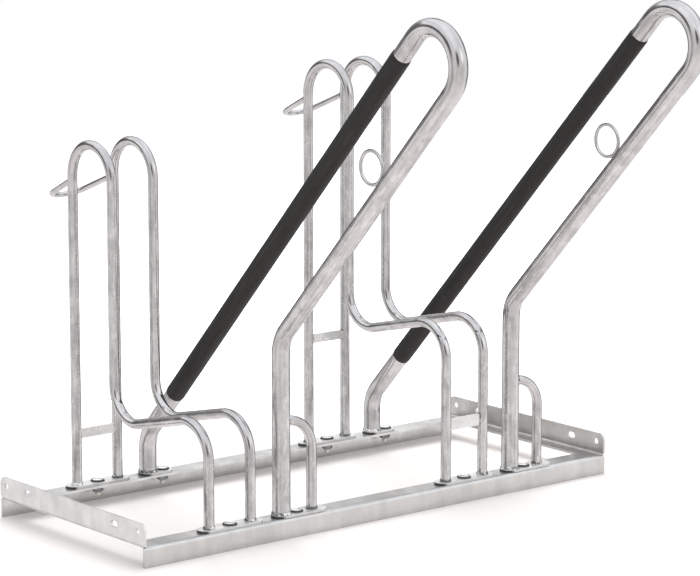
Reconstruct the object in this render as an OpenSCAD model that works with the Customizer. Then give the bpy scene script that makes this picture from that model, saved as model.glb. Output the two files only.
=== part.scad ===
// Two tier bike rack: a row stand with one low and one high wheel holder, each with a lean-on bow.
// Folded sheet steel base, bent round tube, everything zinc coated, bolted through foot plates.
// X runs along the rails, +Y to the rear rail, +Z up. The floor is at z = 0.

/* [Row] */
// Length of the row along its rails
row_len = 995; // [900:5:1300]
// Depth of the base over both rails
row_depth = 415; // [380:5:470]
// Distance between two neighbouring places
place_pitch = 500; // [460:5:600]
// Middle of the first wheel holder from the left end
first_place_x = 182.5; // [150:0.5:200]
// How much higher the second wheel holder is than the first
tier_step = 100; // [0:5:150]

/* [Rails] */
// Height of a rail's web, from the floor to its top face
rail_h = 34; // [30:1:60]
// Width of a rail's top flange
rail_flange_w = 40; // [38:1:60]
// Thickness of the folded sheet steel
sheet_t = 4; // [3:0.5:4]
// Inside radius of a rail's fold
rail_fold_r = 2; // [1:0.5:4]

/* [End angles] */
// Height of an end angle over its lying flange and its standing flange
end_h = 41; // [36:1:60]
// Width of an end angle's lying flange
end_flange_w = 30; // [25:1:50]
// Inside radius of an end angle's fold
end_fold_r = 5; // [2:0.5:6]
// Radius of a standing flange's upper corners
end_corner_r = 12; // [4:0.5:14]
// Diameter of the link holes, and width of the link slots
link_hole_d = 11; // [6:0.5:12]
// Length of a link slot over its round ends
link_slot_len = 18.5; // [16:0.5:35]
// Height of the link holes above the end angle's underside
link_hole_up = 26; // [22:0.5:28]
// Middle of a link hole from the outer face of the nearest rail
link_hole_in = 18.5; // [16:0.5:25]
// Middle of a link slot from the outer face of the nearest rail
link_slot_in = 82.5; // [60:0.5:120]

/* [Wheel holders] */
// Outside diameter of the wheel bars and of the braces
bar_d = 17.2; // [15:0.1:20]
// Wall of the wheel bars and of the braces
bar_wall = 2; // [1.5:0.1:3]
// Distance between the axes of a holder's two wheel bars
bar_pitch = 83; // [75:1:90]
// Bend radius of the wheel bars, on the axis
bar_bend_r = 57; // [50:1:62]
// Height of the low holder over its hoops
hoop_h = 632; // [600:1:700]
// Height of the wheel ramp's lowest point on the low holder, on the axis
ramp_h = 173.5; // [150:0.5:200]
// Rise of the wheel ramp towards the front, in degrees
ramp_deg = 13; // [5:0.5:18]
// Height of the flat cross bar's section
cross_h = 16; // [10:1:25]
// Thickness of the flat cross bar
cross_t = 5; // [3:0.5:8]
// Height of the low holder's cross bar, at its middle
cross_z = 125.5; // [110:0.5:135]
// Height of the section of the high holder's front cross bar
front_cross_h = 20; // [10:1:25]
// Height of the front cross bar, at its middle
front_cross_z = 135; // [120:0.5:160]

/* [Stop loops] */
// Diameter of the loop's round rod
loop_d = 10; // [6:0.5:12]
// Height of the low holder's loop on the axis of the rear legs
loop_z = 560; // [520:0.5:575]
// Fall of the loop towards the rear, in degrees
loop_deg = 23; // [10:0.5:30]
// Length of the loop along its fall, from the leg axis to the rod's middle at its end
loop_reach = 105; // [90:1:130]
// Radius of the loop's rear end, on the axis
loop_end_r = 32; // [20:1:34]

/* [Lean-on bows] */
// Axis of a bow from the middle of its wheel holder
bow_off = 105; // [100:0.5:115]
// Outside diameter of the bow's tube
bow_d = 30; // [28:0.5:32]
// Wall of the bow's tube
bow_wall = 2.5; // [2:0.1:4]
// Height of the bow over everything
bow_h = 876; // [820:1:950]
// Rise of the bow's two slopes above the level, in degrees
bow_deg = 46.3; // [44:0.1:50]
// Distance between the axes of the two slopes
bow_gap = 116; // [110:1:130]
// Bend radius of the bow's knees, on the axis
knee_r = 60; // [50:1:70]
// Height at which the axes of the rear foot and the rear slope meet
rear_knee_z = 103; // [95:1:120]
// Start of the protective sleeve along the rear slope, from the rear knee
sleeve_from = 118; // [100:1:140]
// Bare stretch of the rear slope between the sleeve and the round top
sleeve_bare = 43.5; // [20:0.5:200]
// Wall of the protective sleeve
sleeve_wall = 1.2; // [1:0.1:2.5]

/* [Lock rings and braces] */
// Outside diameter of a lock ring
ring_d = 59; // [50:1:62]
// Thickness of a lock ring's wire
ring_wire_d = 6; // [5:0.5:9]
// Place of a lock ring along the front slope, from the front knee
ring_from = 380; // [300:1:500]
// Axis of the brace's foot from the axis of the bow
brace_off = 62.5; // [59:0.5:66]
// Height of the brace where it meets the bow, on the axis
brace_h = 192; // [160:1:210]
// Bend radius of the brace, on the axis
brace_bend_r = 50; // [35:1:53]

/* [Foot plates] */
// Thickness of the foot plates
plate_t = 4; // [3:0.5:8]
// Width of the wheel holders' foot plates
holder_plate_w = 30; // [22:1:34]
// Reach of a wheel holder's foot plate past the axis of a bar
holder_plate_over = 21; // [16:0.5:24]
// Width of the bows' foot plates
bow_plate_w = 35; // [32:1:36]
// Reach of a bow's front foot plate past the axis of the brace's foot
brace_plate_over = 26.5; // [20:0.5:32]
// Bolt of a bow's foot plate from the axis of the bow
bow_bolt_off = 30; // [29.5:0.5:33]

/* [Fasteners] */
// Diameter of the carriage bolts
bolt_d = 10; // [8:0.5:10]
// Diameter of a carriage bolt's domed head
bolt_head_d = 24.5; // [20:0.5:24.5]
// Height of a carriage bolt's domed head
bolt_head_h = 5.4; // [4:0.1:7]
// Length of a carriage bolt under its head
bolt_len = 25; // [23:1:30]
// Room by which a bolt hole is wider than the bolt
bolt_room = 1; // [0.5:0.1:1.5]
// Outside diameter of the washers
washer_d = 20; // [18:0.5:26]
// Thickness of the washers
washer_t = 2; // [1.5:0.1:3]
// Width of a nut across its flats
nut_af = 17; // [15:0.5:19]
// Height of a nut
nut_h = 8; // [6:0.5:10]

/* [Hidden] */
$fn = 48;

// Air left between curved faces that are welded on the real rack
seat_gap = 0.3;
// How far a cut runs past the faces that it opens
cut_over = 2;
// How far a straight runs into the bend beside it, and how much a bend's tube swells in radius
bend_lap = 0.5;
bend_swell = 0.1;
// Chamfer at a bolt's end and on a nut's corners, as a share of the bolt's diameter
bolt_chamfer_share = 0.1;

zinc = [0.74, 0.75, 0.76];
zinc_bright = [0.82, 0.83, 0.84];
sleeve_black = [0.10, 0.10, 0.10];

// The legs stand on the middle of the rails' flanges
leg_y = row_depth / 2 - rail_flange_w / 2;
plate_top = rail_h + plate_t;
bar_r = bar_d / 2;
bow_r = bow_d / 2;

// The middles of the two wheel holders, low on the left and high on the right
low_x = first_place_x - row_len / 2;
high_x = low_x + place_pitch;

// Wheel bar: heights on its axis
hoop_z = hoop_h - bend_swell - bar_r - bar_bend_r;
hoop_y = leg_y - 2 * bar_bend_r;
rear_bend_z = ramp_h + bar_bend_r;
ramp_turn = 90 + ramp_deg;
// The ramp runs between the two bends, from under the hoop's front leg to over the front foot
ramp_span_y = (hoop_y - bar_bend_r) - (bar_bend_r - leg_y);
ramp_run = (ramp_span_y - 2 * bar_bend_r * sin(ramp_deg)) / cos(ramp_deg);
front_bend_z = rear_bend_z - 2 * bar_bend_r * cos(ramp_deg) + ramp_run * sin(ramp_deg);

// Bow: the slopes run forward and up; places along them count from the rear knee
knee_turn = 90 - bow_deg;
knee_tan = knee_r * tan(knee_turn / 2);
bow_bend_r = bow_gap / 2;
bow_top_z = bow_h - bend_swell - bow_r - bow_bend_r;
slope_len = (bow_top_z + bow_bend_r * cos(bow_deg) - rear_knee_z) / sin(bow_deg);
sleeve_len = slope_len - sleeve_from - sleeve_bare;
front_knee_z = rear_knee_z + (2 * leg_y * sin(bow_deg) - bow_gap) / cos(bow_deg);
front_knee_at = 2 * leg_y * cos(bow_deg) + (front_knee_z - rear_knee_z) * sin(bow_deg);
bow_front_y = leg_y - slope_len * cos(bow_deg) - bow_bend_r * sin(bow_deg)
    - bow_bend_r - bow_r - bend_swell;

// Loop: its arms run from the leg axes and touch the round end
loop_r = loop_d / 2;
loop_mid = loop_reach - loop_end_r;
loop_diag = sqrt(pow(bar_pitch / 2, 2) + pow(loop_mid, 2));
loop_arm = sqrt(pow(loop_diag, 2) - pow(loop_end_r, 2));
loop_taper = atan2(bar_pitch / 2, loop_mid) - asin(loop_end_r / loop_diag);
loop_rear_y = leg_y + loop_reach * cos(loop_deg) + loop_r + bend_swell;

// The origin lies under the middle of the whole rack
origin_y = (bow_front_y + loop_rear_y) / 2;

// Places of the bolts along each rail: one for each foot plate
bolt_xs = [low_x, low_x + bow_off + bow_bolt_off, high_x, high_x + bow_off + bow_bolt_off];
bolt_hole_d = bolt_d + bolt_room;
neck_hole_w = bolt_d + bolt_room;

// Shared shapes

// Moves a row's part from the row's own middle to the rack's origin
module in_row(x = 0) {
    translate([x, -origin_y, 0]) children();
}

// A round rod that starts upward and follows steps of [straight length, bend radius, turn in degrees].
// A turn above zero bends towards -Y, and one below zero towards +Y. The last step has a length alone.
// Each straight runs a little way into the bends beside it, where the rod is a hair thicker.
module bent_rod(steps, r, i = 0) {
    lap_before = i > 0 ? bend_lap : 0;
    lap_after = i < len(steps) - 1 ? bend_lap : 0;
    translate([0, 0, -lap_before]) cylinder(h = lap_before + steps[i][0] + lap_after, r = r);
    if (i < len(steps) - 1) {
        bend_r = steps[i][1];
        turn = steps[i][2];
        side = sign(turn);
        translate([0, 0, steps[i][0]]) {
            rotate([0, 0, side < 0 ? 180 : 0])
                translate([0, -bend_r, 0])
                    rotate([90, 0, 90])
                        rotate_extrude(angle = abs(turn))
                            translate([bend_r, 0]) rotate(side * 90) circle(r = r + bend_swell);
            translate([0, -side * bend_r, 0])
                rotate([turn, 0, 0])
                    translate([0, side * bend_r, 0])
                        bent_rod(steps, r, i + 1);
        }
    }
}

// The same steps with a longer first and last straight, for a bore that leaves both ends
function stretched(steps, more) = [
    for (i = [0 : len(steps) - 1])
        i == 0 || i == len(steps) - 1
            ? concat([steps[i][0] + more], [for (k = [1 : 1 : len(steps[i]) - 1]) steps[i][k]])
            : steps[i]
];

// A bent tube with its bore open at both ends
module bent_tube(steps, d, wall) {
    difference() {
        bent_rod(steps, d / 2);
        translate([0, 0, -cut_over]) bent_rod(stretched(steps, cut_over), d / 2 - wall);
    }
}

// A folded angle's section: its lying flange to +X on top of the origin, its other flange down or up.
// The outer faces meet at the origin, and the fold is round inside and outside.
module angle_section(lying, standing, t, fold_r) {
    outer_r = fold_r + t;
    difference() {
        union() {
            translate([outer_r, 0]) square([lying - outer_r, t]);
            translate([0, outer_r]) square([t, standing - outer_r]);
            intersection() {
                square([outer_r, outer_r]);
                translate([outer_r, outer_r]) circle(r = outer_r);
            }
        }
        translate([outer_r, outer_r]) circle(r = fold_r);
    }
}

// A flat plate along X with round ends, from x1 to x2 over everything
module round_plate(x1, x2, w, t) {
    linear_extrude(height = t) {
        translate([x1 + w / 2, -w / 2]) square([x2 - x1 - w, w]);
        for (x = [x1 + w / 2, x2 - w / 2]) translate([x, 0]) circle(d = w);
    }
}

// Base

// One rail with its web on the outer side, for the front: y = 0 is the web's outer face
module rail() {
    difference() {
        translate([-row_len / 2, 0, rail_h])
            rotate([90, 0, 90])
                linear_extrude(height = row_len)
                    mirror([0, 1]) angle_section(rail_flange_w, rail_h, sheet_t, rail_fold_r);
        // Both ends of the flange are cut back to the end angles
        for (side = [-1, 1])
            translate([side * row_len / 2, 0, 0])
                translate([side > 0 ? -end_flange_w : -cut_over, sheet_t, -cut_over])
                    cube([end_flange_w + cut_over, rail_flange_w, rail_h + 2 * cut_over]);
        for (x = bolt_xs)
            translate([x, rail_flange_w / 2, rail_h - sheet_t - cut_over])
                cylinder(h = sheet_t + 2 * cut_over, d = bolt_hole_d);
    }
}

module front_rail() {
    color(zinc) in_row() translate([0, -row_depth / 2, 0]) rail();
}

module rear_rail() {
    color(zinc) in_row() mirror([0, 1, 0]) translate([0, -row_depth / 2, 0]) rail();
}

// The standing flange's outline, seen along X
module end_outline() {
    difference() {
        translate([-row_depth / 2, 0]) square([row_depth, end_h]);
        for (side = [-1, 1])
            translate([side * (row_depth / 2 - end_corner_r), end_h - end_corner_r])
                difference() {
                    translate([side > 0 ? 0 : -end_corner_r - cut_over, 0])
                        square([end_corner_r + cut_over, end_corner_r + cut_over]);
                    circle(r = end_corner_r);
                }
    }
}

// The left end angle, with x = 0 at its outer face and z = 0 at its underside
module end_angle() {
    difference() {
        intersection() {
            rotate([90, 0, 0])
                translate([0, 0, -row_depth / 2])
                    linear_extrude(height = row_depth)
                        angle_section(end_flange_w, end_h, sheet_t, end_fold_r);
            rotate([90, 0, 90])
                translate([0, 0, -cut_over])
                    linear_extrude(height = end_flange_w + 2 * cut_over) end_outline();
        }
        // Below the rails' top faces the angle fits between their webs
        for (side = [-1, 1])
            translate([-cut_over, side > 0 ? row_depth / 2 - sheet_t : -row_depth / 2 - cut_over, -cut_over])
                cube([end_flange_w + 2 * cut_over, sheet_t + cut_over, sheet_t + seat_gap + cut_over]);
        for (side = [-1, 1]) {
            translate([-cut_over, side * (row_depth / 2 - link_hole_in), link_hole_up])
                rotate([0, 90, 0]) cylinder(h = sheet_t + 2 * cut_over, d = link_hole_d);
            translate([-cut_over, side * (row_depth / 2 - link_slot_in), link_hole_up])
                link_slot();
        }
    }
}

// A slot along Y through the sheet
module link_slot() {
    mid_len = link_slot_len - link_hole_d;
    translate([0, -mid_len / 2, -link_hole_d / 2])
        cube([sheet_t + 2 * cut_over, mid_len, link_hole_d]);
    for (y = [-mid_len / 2, mid_len / 2])
        translate([0, y, 0]) rotate([0, 90, 0]) cylinder(h = sheet_t + 2 * cut_over, d = link_hole_d);
}

module left_end_angle() {
    color(zinc) in_row(-row_len / 2) translate([0, 0, rail_h - sheet_t]) end_angle();
}

module right_end_angle() {
    color(zinc) in_row(row_len / 2) translate([0, 0, rail_h - sheet_t]) mirror([1, 0, 0]) end_angle();
}

// Wheel holders

// One wheel bar from its rear foot over the hoop and the ramp to its front foot
module wheel_bar(lift) {
    translate([0, leg_y, plate_top])
        bent_tube([
            [hoop_z + lift - plate_top, bar_bend_r, 180],
            [hoop_z - rear_bend_z, bar_bend_r, -ramp_turn],
            [ramp_run, bar_bend_r, ramp_turn],
            [front_bend_z + lift - plate_top]
        ], bar_d, bar_wall);
}

// A flat bar between two legs at depth y, hollowed at its ends to fit them
module cross_bar(y, z, h) {
    difference() {
        translate([-bar_pitch / 2, y - cross_t / 2, z - h / 2])
            cube([bar_pitch, cross_t, h]);
        leg_seats(y, z, h);
    }
}

// What the legs at depth y take away from a piece that is welded to them
module leg_seats(y, z, h) {
    for (side = [-1, 1])
        translate([side * bar_pitch / 2, y, z - h / 2 - cut_over])
            cylinder(h = h + 2 * cut_over, r = bar_r + seat_gap);
}

// The thin rod loop behind the rear legs: it falls to the rear and narrows to a round end
module stop_loop(lift) {
    seat_h = 2 * (bar_d * tan(loop_deg) + loop_d);
    difference() {
        translate([bar_pitch / 2, leg_y, loop_z + lift])
            rotate([-loop_deg, 0, 0])
                rotate([0, 0, loop_taper])
                    rotate([-90, 0, 0])
                        rotate([0, 0, -90])
                            bent_rod([[loop_arm, loop_end_r, 180 - 2 * loop_taper], [loop_arm]], loop_r);
        leg_seats(leg_y, loop_z + lift, seat_h);
    }
}

// A holder's foot plate with a square hole for the bolt's neck
module holder_plate(side) {
    plate_x = bar_pitch / 2 + holder_plate_over;
    translate([0, side * leg_y, rail_h])
        difference() {
            round_plate(-plate_x, plate_x, holder_plate_w, plate_t);
            neck_hole(0);
        }
}

module neck_hole(x) {
    translate([x - neck_hole_w / 2, -neck_hole_w / 2, -cut_over])
        cube([neck_hole_w, neck_hole_w, plate_t + 2 * cut_over]);
}

module low_holder_left_bar() { color(zinc) in_row(low_x - bar_pitch / 2) wheel_bar(0); }
module low_holder_right_bar() { color(zinc) in_row(low_x + bar_pitch / 2) wheel_bar(0); }
module low_holder_cross_bar() { color(zinc) in_row(low_x) cross_bar(leg_y, cross_z, cross_h); }
module low_holder_stop_loop() { color(zinc) in_row(low_x) stop_loop(0); }
module low_holder_front_plate() { color(zinc) in_row(low_x) holder_plate(-1); }
module low_holder_rear_plate() { color(zinc) in_row(low_x) holder_plate(1); }

module high_holder_left_bar() { color(zinc) in_row(high_x - bar_pitch / 2) wheel_bar(tier_step); }
module high_holder_right_bar() { color(zinc) in_row(high_x + bar_pitch / 2) wheel_bar(tier_step); }
module high_holder_cross_bar() { color(zinc) in_row(high_x) cross_bar(leg_y, cross_z + tier_step, cross_h); }
module high_holder_front_cross_bar() { color(zinc) in_row(high_x) cross_bar(-leg_y, front_cross_z, front_cross_h); }
module high_holder_stop_loop() { color(zinc) in_row(high_x) stop_loop(tier_step); }
module high_holder_front_plate() { color(zinc) in_row(high_x) holder_plate(-1); }
module high_holder_rear_plate() { color(zinc) in_row(high_x) holder_plate(1); }

// Lean-on bows

// One bow from its rear foot up the rear slope, round the top, and down to its front foot
module lean_bow() {
    translate([0, leg_y, plate_top])
        bent_tube([
            [rear_knee_z - knee_tan - plate_top, knee_r, knee_turn],
            [slope_len - knee_tan, bow_bend_r, 180],
            [slope_len - front_knee_at - knee_tan, knee_r, -knee_turn],
            [front_knee_z - knee_tan - plate_top]
        ], bow_d, bow_wall);
}

// Puts a child on a slope of the bow, with its z axis up the slope and its +Y square to it, up and back
module on_slope(y, z) {
    translate([0, y, z]) rotate([knee_turn, 0, 0]) children();
}

// The black sleeve that keeps a bicycle frame off the zinc
module bow_sleeve() {
    on_slope(leg_y, rear_knee_z)
        translate([0, 0, sleeve_from])
            difference() {
                cylinder(h = sleeve_len, r = bow_r + seat_gap + sleeve_wall);
                translate([0, 0, -cut_over]) cylinder(h = sleeve_len + 2 * cut_over, r = bow_r + seat_gap);
            }
}

// The lock ring in the plane of the bow, welded on the inner side of the front slope
module lock_ring() {
    on_slope(-leg_y, front_knee_z)
        translate([0, bow_r + seat_gap + ring_d / 2, ring_from])
            rotate([0, 90, 0])
                rotate_extrude()
                    translate([ring_d / 2 - ring_wire_d / 2, 0]) circle(d = ring_wire_d);
}

// The bent brace from the front foot plate up to the bow's front leg
module bow_brace() {
    difference() {
        translate([brace_off, -leg_y, plate_top])
            rotate([0, 0, -90])
                bent_tube([
                    [brace_h - brace_bend_r - plate_top, brace_bend_r, 90],
                    [brace_off - brace_bend_r]
                ], bar_d, bar_wall);
        translate([0, -leg_y, brace_h - bar_d]) cylinder(h = 2 * bar_d, r = bow_r + seat_gap);
    }
}

module bow_front_plate() {
    translate([0, -leg_y, rail_h])
        difference() {
            round_plate(-bow_plate_w / 2, brace_off + brace_plate_over, bow_plate_w, plate_t);
            neck_hole(bow_bolt_off);
        }
}

module bow_rear_plate() {
    translate([0, leg_y, rail_h])
        difference() {
            round_plate(-bow_plate_w / 2, bow_bolt_off + bow_plate_w / 2, bow_plate_w, plate_t);
            neck_hole(bow_bolt_off);
        }
}

module left_lean_bow() { color(zinc) in_row(low_x + bow_off) lean_bow(); }
module left_bow_sleeve() { color(sleeve_black) in_row(low_x + bow_off) bow_sleeve(); }
module left_lock_ring() { color(zinc) in_row(low_x + bow_off) lock_ring(); }
module left_bow_brace() { color(zinc) in_row(low_x + bow_off) bow_brace(); }
module left_bow_front_plate() { color(zinc) in_row(low_x + bow_off) bow_front_plate(); }
module left_bow_rear_plate() { color(zinc) in_row(low_x + bow_off) bow_rear_plate(); }

module right_lean_bow() { color(zinc) in_row(high_x + bow_off) lean_bow(); }
module right_bow_sleeve() { color(sleeve_black) in_row(high_x + bow_off) bow_sleeve(); }
module right_lock_ring() { color(zinc) in_row(high_x + bow_off) lock_ring(); }
module right_bow_brace() { color(zinc) in_row(high_x + bow_off) bow_brace(); }
module right_bow_front_plate() { color(zinc) in_row(high_x + bow_off) bow_front_plate(); }
module right_bow_rear_plate() { color(zinc) in_row(high_x + bow_off) bow_rear_plate(); }

// Fasteners

// Puts a child at each of the eight bolts, on the level z
module at_bolts(z) {
    in_row() for (x = bolt_xs, side = [-1, 1]) translate([x, side * leg_y, z]) children();
}

// A carriage bolt with its head's underside at z = 0: domed head, square neck, round shank
module carriage_bolt() {
    chamfer = bolt_d * bolt_chamfer_share;
    dome_r = (pow(bolt_head_d / 2, 2) + pow(bolt_head_h, 2)) / (2 * bolt_head_h);
    intersection() {
        cylinder(h = bolt_head_h, d = bolt_head_d);
        translate([0, 0, bolt_head_h - dome_r]) sphere(r = dome_r);
    }
    translate([-bolt_d / 2, -bolt_d / 2, -plate_t]) cube([bolt_d, bolt_d, plate_t]);
    translate([0, 0, chamfer - bolt_len]) cylinder(h = bolt_len - chamfer, d = bolt_d);
    translate([0, 0, -bolt_len]) cylinder(h = chamfer, d1 = bolt_d - 2 * chamfer, d2 = bolt_d);
}

module washer() {
    difference() {
        cylinder(h = washer_t, d = washer_d);
        translate([0, 0, -cut_over]) cylinder(h = washer_t + 2 * cut_over, r = bolt_d / 2 + seat_gap);
    }
}

// A hexagon nut with its lower corners turned off
module nut() {
    corner_d = nut_af / cos(30);
    chamfer = (corner_d - nut_af) / 2;
    difference() {
        intersection() {
            cylinder(h = nut_h, d = corner_d, $fn = 6);
            union() {
                cylinder(h = chamfer, d1 = nut_af, d2 = corner_d + 2 * seat_gap);
                translate([0, 0, chamfer]) cylinder(h = nut_h - chamfer, d = corner_d + 2 * seat_gap);
            }
        }
        translate([0, 0, -cut_over]) cylinder(h = nut_h + 2 * cut_over, r = bolt_d / 2 + seat_gap);
    }
}

module carriage_bolts() { color(zinc_bright) at_bolts(plate_top) carriage_bolt(); }
module washers() { color(zinc_bright) at_bolts(rail_h - sheet_t - washer_t) washer(); }
module nuts() { color(zinc_bright) at_bolts(rail_h - sheet_t - washer_t - nut_h) nut(); }

front_rail();
rear_rail();
left_end_angle();
right_end_angle();
low_holder_left_bar();
low_holder_right_bar();
low_holder_cross_bar();
low_holder_stop_loop();
low_holder_front_plate();
low_holder_rear_plate();
high_holder_left_bar();
high_holder_right_bar();
high_holder_cross_bar();
high_holder_front_cross_bar();
high_holder_stop_loop();
high_holder_front_plate();
high_holder_rear_plate();
left_lean_bow();
left_bow_sleeve();
left_lock_ring();
left_bow_brace();
left_bow_front_plate();
left_bow_rear_plate();
right_lean_bow();
right_bow_sleeve();
right_lock_ring();
right_bow_brace();
right_bow_front_plate();
right_bow_rear_plate();
carriage_bolts();
washers();
nuts();
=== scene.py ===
import bpy
import numpy as np
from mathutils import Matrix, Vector


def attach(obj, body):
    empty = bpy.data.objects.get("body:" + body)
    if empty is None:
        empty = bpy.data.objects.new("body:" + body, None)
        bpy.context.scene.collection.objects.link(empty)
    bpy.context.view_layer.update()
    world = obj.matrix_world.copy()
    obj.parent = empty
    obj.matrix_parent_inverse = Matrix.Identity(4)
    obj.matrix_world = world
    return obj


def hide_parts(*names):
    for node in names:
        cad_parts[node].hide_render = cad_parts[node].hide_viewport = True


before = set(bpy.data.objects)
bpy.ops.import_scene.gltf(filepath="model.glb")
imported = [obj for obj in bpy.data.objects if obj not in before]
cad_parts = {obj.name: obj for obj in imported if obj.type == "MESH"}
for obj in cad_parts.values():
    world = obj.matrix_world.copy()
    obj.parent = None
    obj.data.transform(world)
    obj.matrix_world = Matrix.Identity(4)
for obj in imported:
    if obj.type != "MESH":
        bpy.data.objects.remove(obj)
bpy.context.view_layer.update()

# Sizes that the solids have too
FRONT_LEG_Y = -0.014795
REAR_LEG_Y = 0.360205
LOW_X = -0.315
HIGH_X = 0.185
TIER_STEP = 0.100
RAIL_TOP = 0.034
SHEET = 0.004
PLATE_TOP = 0.038
BAR_R = 0.0086
BAR_BEND = 0.057
BAR_HALF_GAP = 0.0415
HOOP_TOP = 0.6319
RAMP_LOW = 0.1735
RAMP_RISE = np.radians(13)
CROSS_H = 0.016
CROSS_T = 0.005
CROSS_Z = 0.1255
FRONT_CROSS_H = 0.020
FRONT_CROSS_Z = 0.135
LOOP_R = 0.005
LOOP_Z = 0.560
LOOP_FALL = np.radians(23)
LOOP_REACH = 0.105
LOOP_END_R = 0.032
BOW_OFF = 0.105
BOW_R = 0.015
BOW_TOP = 0.8759
BOW_RISE = np.radians(46.3)
BOW_BEND = 0.058
KNEE_R = 0.060
REAR_KNEE_Z = 0.103
SLEEVE_FROM = 0.118
SLEEVE_BARE = 0.0435
SLEEVE_WALL = 0.0012
SEAT_GAP = 0.0003
RING_R = 0.0265
RING_WIRE_R = 0.0030
RING_FROM = 0.380
BRACE_OFF = 0.0625
BRACE_H = 0.192
BRACE_BEND = 0.050
BOLT_OFF = 0.030
BOLT_R = 0.005
BOLT_LEN = 0.025
BOLT_PITCH = 0.0015
HEAD_R = 0.01225
HEAD_H = 0.0054
WASHER_R = 0.010
WASHER_T = 0.002
NUT_HALF_AF = 0.0085
NUT_H = 0.008

# Sizes of the dressing: the zinc's lumps on tubes, a bent tube's loss of width, and the weld beads' radii
BAR_LUMPS = 0.00006
BOW_LUMPS = 0.0001
LOOP_LUMPS = 0.00004
FLATTENED = 0.03
FOOT_BEAD = 0.0014
BOW_FOOT_BEAD = 0.0017
SMALL_BEAD = 0.0012
BRACE_BEAD = 0.0015

# First seeds of the uneven surfaces
BAR_SEED = 3
BOW_SEED = 11
BRACE_SEED = 15
SLEEVE_SEED = 20
LOOP_SEED = 30
FOOT_SEED = 40
CROSS_SEED = 60
FRONT_CROSS_SEED = 65
LOOP_JOINT_SEED = 70
BOW_FOOT_SEED = 80
BRACE_FOOT_SEED = 90
BRACE_JOINT_SEED = 94
RING_SEED = 97

UP = np.array([0.0, 0.0, 1.0])
RIGHT = np.array([1.0, 0.0, 0.0])
REAR = np.array([0.0, 1.0, 0.0])
SIDES = (-1, 1)
HOLDERS = [("low_holder", LOW_X, 0.0), ("high_holder", HIGH_X, TIER_STEP)]
BOWS = [("left", LOW_X + BOW_OFF), ("right", HIGH_X + BOW_OFF)]


# Surfaces

def quads_of_grid(rows, cols, rows_close):
    """Corner numbers of a grid's quads: (i, j), (i, j+1), (i+1, j+1), (i+1, j). Its columns close on
    themselves."""
    i = np.arange(rows if rows_close else rows - 1)[:, None]
    j = np.arange(cols)[None, :]
    right, down = (j + 1) % cols, (i + 1) % rows
    corners = [i * cols + j, i * cols + right, down * cols + right, down * cols + j]
    return np.stack(np.broadcast_arrays(*corners), -1).reshape(-1, 4)


def grid_values(grids, rows_close):
    """Values of shape (count, rows, cols, k) as one list. An open grid gets two poles after its own points,
    each with the mean of its first or last row."""
    flat = grids.reshape(grids.shape[0], -1, grids.shape[-1])
    if not rows_close:
        first, last = grids[:, 0].mean(1)[:, None], grids[:, -1].mean(1)[:, None]
        flat = np.concatenate([flat, first, last], 1)
    return flat.reshape(-1, grids.shape[-1])


def grid_faces(count, rows, cols, rows_close):
    """Faces of count grids of rows by cols: the quads, and at each end of an open grid a fan to its pole."""
    quads = quads_of_grid(rows, cols, rows_close)
    per_grid = rows * cols + (0 if rows_close else 2)
    shift = (np.arange(count) * per_grid)[:, None, None]
    faces = (quads[None] + shift).reshape(-1, 4).tolist()
    if not rows_close:
        j = np.arange(cols)
        turn = (j + 1) % cols
        low_pole, high_pole = np.full(cols, rows * cols), np.full(cols, rows * cols + 1)
        first = np.stack([low_pole, turn, j], 1)
        last = np.stack([high_pole, (rows - 1) * cols + j, (rows - 1) * cols + turn], 1)
        faces += (np.concatenate([first, last])[None] + shift).reshape(-1, 3).tolist()
    return faces


def piece(name, grids, finish, replaced=(), rows_close=False, lie=None, gloss=None):
    """A finished piece from points of shape (count, rows, cols, 3). lie is each point's place along and
    across its tube, which the zinc's pattern follows, and gloss is how far it lies in a bend, or a bolt rim's
    painted shade."""
    mesh = bpy.data.meshes.new(name)
    mesh.from_pydata(grid_values(grids, rows_close).tolist(), [], grid_faces(*grids.shape[:3], rows_close))
    mesh.shade_smooth()
    lie = grids if lie is None else lie
    gloss = np.zeros(grids.shape[:3] + (1,)) if gloss is None else gloss
    kept = [("lie", "FLOAT_VECTOR", "vector", lie), ("gloss", "FLOAT", "value", gloss)]
    for label, kind, key, values in kept:
        attribute = mesh.attributes.new(label, kind, "POINT")
        attribute.data.foreach_set(key, grid_values(values, rows_close).astype(np.float32).ravel())
    made = bpy.data.objects.new(name, mesh)
    bpy.context.scene.collection.objects.link(made)
    mesh.materials.append(finish)
    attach(made, "root")
    if replaced:
        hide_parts(*replaced)
    return made


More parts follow.
